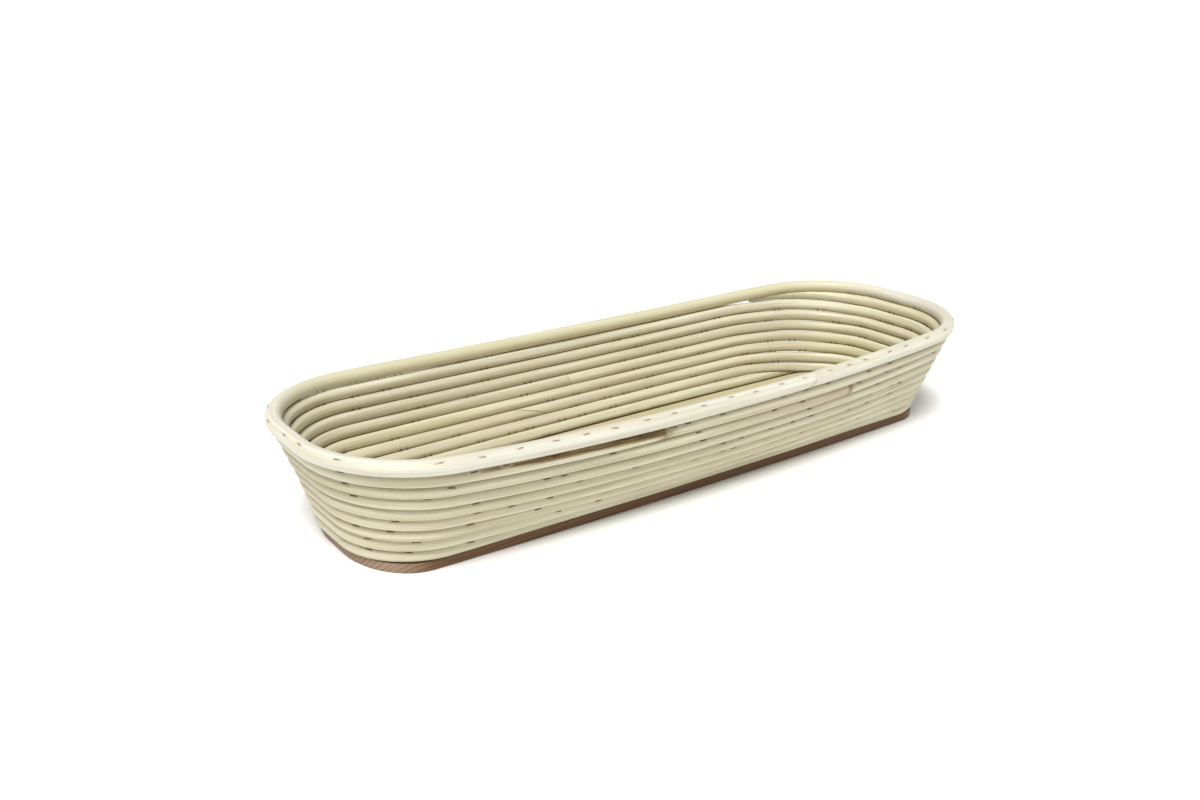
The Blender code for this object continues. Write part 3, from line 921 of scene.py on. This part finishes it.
def make_studio():
    """Pale floor, one soft sun and white surroundings."""
    corners = np.array([[-1, -1, 0], [1, -1, 0], [1, 1, 0], [-1, 1, 0]]) * FLOOR_HALF_WIDTH
    floor = make_piece("floor", corners, [[0, 1, 2, 3]], paper("floor_paper"))
    world = bpy.data.worlds.new("studio")
    world.use_nodes = True
    tree = world.node_tree
    direction = tree.nodes.new("ShaderNodeTexCoord")
    height = tree.nodes.new("ShaderNodeSeparateXYZ")
    fade = tree.nodes.new("ShaderNodeMapRange")
    for socket, value in WORLD_FADE:
        fade.inputs[socket].default_value = value
    tree.links.new(direction.outputs["Generated"], height.inputs[0])
    tree.links.new(height.outputs["Z"], fade.inputs["Value"])
    tree.links.new(fade.outputs[0], tree.nodes["Background"].inputs["Strength"])
    tree.nodes["Background"].inputs["Color"].default_value = (1.0, 1.0, 1.0, 1.0)
    bpy.context.scene.world = world
    add_sun("key", KEY_PLACE, KEY_SPREAD, KEY_STRENGTH)


def add_sun(name, place, spread, strength):
    """A wide soft light from the direction of a place."""
    light = bpy.data.lights.new(name, "SUN")
    light.angle = spread
    light.energy = strength
    lamp = bpy.data.objects.new(name, light)
    lamp.rotation_euler = (-Vector(place)).to_track_quat("-Z", "Y").to_euler()
    bpy.context.scene.collection.objects.link(lamp)


def make_camera():
    """Camera beyond the front left corner, looking down at the basket."""
    camera = bpy.data.cameras.new("camera")
    camera.lens = CAMERA_LENS
    camera.shift_y = CAMERA_SHIFT
    eye = bpy.data.objects.new("camera", camera)
    eye.location = CAMERA_PLACE
    level = math.cos(CAMERA_DIP)
    forward = Vector((math.sin(CAMERA_HEADING) * level, math.cos(CAMERA_HEADING) * level,
                      -math.sin(CAMERA_DIP)))
    eye.rotation_euler = forward.to_track_quat("-Z", "Y").to_euler()
    bpy.context.scene.collection.objects.link(eye)
    bpy.context.scene.camera = eye


# ---------------------------------------------------------------- the whole basket

MORE_STAPLES = more_staples()
LIGHT = (0.72, 0.685, 0.53)
DARK = (0.57, 0.53, 0.37)
# GROOVE is the painted shade where canes touch, with some brown staining, and also the tone of the darker
# bands
GROOVE = (0.28, 0.215, 0.085)
TONES = ((1.00, 1.00, 1.00), (1.03, 1.02, 1.00), (0.97, 0.97, 0.96), (1.04, 1.05, 1.08), (1.00, 0.99, 0.97))

# Colours of the other materials: light, dark, and a third, which is the painted shade in the grooves for
# rattan and the pores' colour for wood
RIM_COLOURS = ((0.72, 0.705, 0.625), (0.64, 0.62, 0.515), (0.46, 0.38, 0.22))
# Painted shade and yellow reflected light on the rim's back half
RIM_BACK_SHADE = (0.57, 0.525, 0.29)
RIM_GLOSS = 0.05
FLOOR_COLOURS = ((0.60, 0.54, 0.34), (0.48, 0.41, 0.24), (0.34, 0.25, 0.12))
EDGE_COLOURS = ((0.20, 0.105, 0.050), (0.10, 0.050, 0.022), (0.05, 0.029, 0.014))
WIRE_COLOURS = ((0.26, 0.19, 0.12), (0.10, 0.06, 0.03))
# Painted light: the same steel as the other staples, drawn lighter for the staples lit on top of the rim
LIT_RIM_WIRE_COLOURS = ((0.56, 0.48, 0.36), (0.27, 0.20, 0.12))
FIBRE_COLOURS = ((0.78, 0.70, 0.48), (0.60, 0.50, 0.30), GROOVE)

# A radius so large that no painted groove shade shows
NO_GROOVES = 1.0


def tinted(colour, tone):
    """A colour multiplied by a tone."""
    return tuple(c * t for c, t in zip(colour, tone))


bpy.context.scene.view_settings.view_transform = "Standard"
make_camera()
make_studio()
make_canes([rattan(f"wall_rattan_{number + 1}", tinted(LIGHT, tone), tinted(DARK, tone), GROOVE, CANE_RADIUS)
            for number, tone in enumerate(TONES)])
make_rim(rattan("rim_rattan", *RIM_COLOURS, RIM_RADIUS, gloss=RIM_GLOSS, patch_and_shade=RIM_BACK_SHADE, below=True))
make_board(wood("board_floor", *FLOOR_COLOURS), wood("board_edge", *EDGE_COLOURS, end_grain=True))
make_staples(steel("staple_wire", *WIRE_COLOURS), steel("lit_rim_staple_wire", *LIT_RIM_WIRE_COLOURS))
make_fibres(rattan("loose_fibre", *FIBRE_COLOURS, NO_GROOVES))
